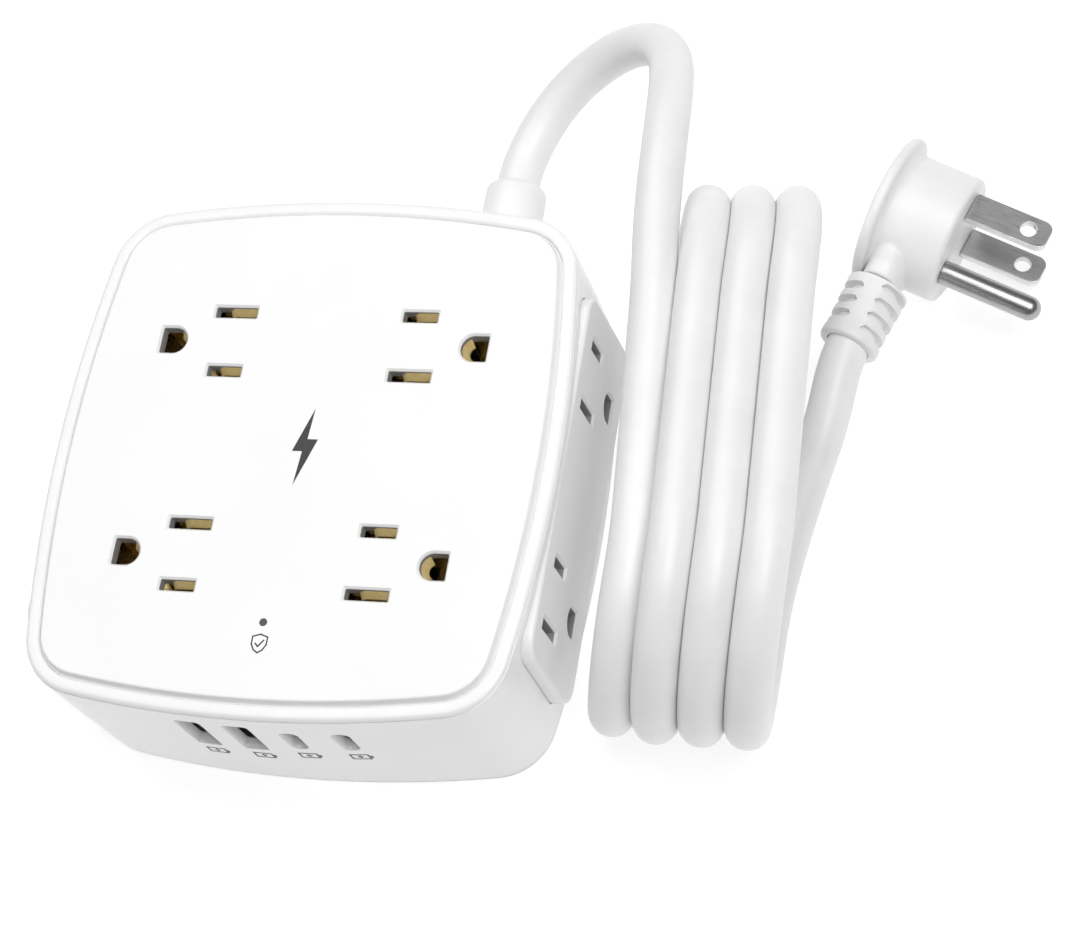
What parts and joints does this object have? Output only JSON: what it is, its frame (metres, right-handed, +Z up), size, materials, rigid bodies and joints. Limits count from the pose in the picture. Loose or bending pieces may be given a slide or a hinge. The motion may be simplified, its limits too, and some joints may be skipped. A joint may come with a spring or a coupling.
{
  "type": "surge protector",
  "caption": "Square desktop surge protector with grounded sockets on top and on two side walls, USB ports in front, and a flat-plug mains lead folded into a hank",
  "frame": {"origin": "on the table under the middle of the box", "axes": "+X towards the lead's hank, +Y from the USB ports to the wall where the lead leaves, +Z up"},
  "size_m": [0.1852, 0.1521, 0.0614],
  "materials": {
    "gloss_white_plastic": "glossy",
    "satin_white_plastic": "satin",
    "white_cord_vinyl": "satin",
    "brass": "bright",
    "nickel": "satin",
    "steel": "satin",
    "black_plastic": "satin",
    "rubber": "matte",
    "circuit_board": "satin",
    "blue_ceramic": "satin",
    "yellow_plastic": "satin",
    "clear_plastic": "glossy",
    "green_plastic": "satin"
  },
  "bodies": {
    "box": {"body_shell": "gloss_white_plastic", "top_panel": "gloss_white_plastic", "right_socket_panel": "gloss_white_plastic", "left_socket_panel": "gloss_white_plastic", "base_cover": "satin_white_plastic", "rubber_foot_1": "rubber", "rubber_foot_2": "rubber", "rubber_foot_3": "rubber", "rubber_foot_4": "rubber", "case_screw_1": "steel", "case_screw_2": "steel", "case_screw_3": "steel", "case_screw_4": "steel", "hot_bus_top": "brass", "hot_bus_right": "brass", "hot_bus_left": "brass", "neutral_bus_top": "brass", "neutral_bus_right": "brass", "neutral_bus_left": "brass", "ground_bus_top": "brass", "ground_bus_right": "brass", "ground_bus_left": "brass", "surge_board": "circuit_board", "varistor_1": "blue_ceramic", "varistor_2": "blue_ceramic", "varistor_3": "blue_ceramic", "thermal_fuse": "yellow_plastic", "usb_board": "circuit_board", "usb_transformer": "yellow_plastic", "usb_capacitor_1": "black_plastic", "usb_capacitor_2": "black_plastic", "usb_a_port_1": "steel", "usb_a_port_2": "steel", "usb_c_port_1": "steel", "usb_c_port_2": "steel", "usb_a_tongue_1": "black_plastic", "usb_a_tongue_2": "black_plastic", "usb_c_tongue_1": "black_plastic", "usb_c_tongue_2": "black_plastic", "status_led": "green_plastic", "light_pipe": "clear_plastic", "breaker_body": "black_plastic", "breaker_collar": "black_plastic", "hot_wire": "black_plastic", "neutral_wire": "satin_white_plastic", "ground_wire": "green_plastic", "cord_gland": "white_cord_vinyl", "cord_exit_lead": "white_cord_vinyl", "cord_hank": "white_cord_vinyl", "cord_plug_lead": "white_cord_vinyl", "plug_body": "white_cord_vinyl", "plug_cap": "white_cord_vinyl", "plug_strain_relief": "white_cord_vinyl", "plug_blade_hot": "nickel", "plug_blade_neutral": "nickel", "plug_ground_pin": "nickel"},
    "button": {"reset_button": "black_plastic"}
  },
  "joints": [
    {"name": "reset_button_slide", "type": "slide", "parent": "box", "child": "button", "axis": [0, 1, 0], "range_m": [0, 0.0022]}
  ]
}
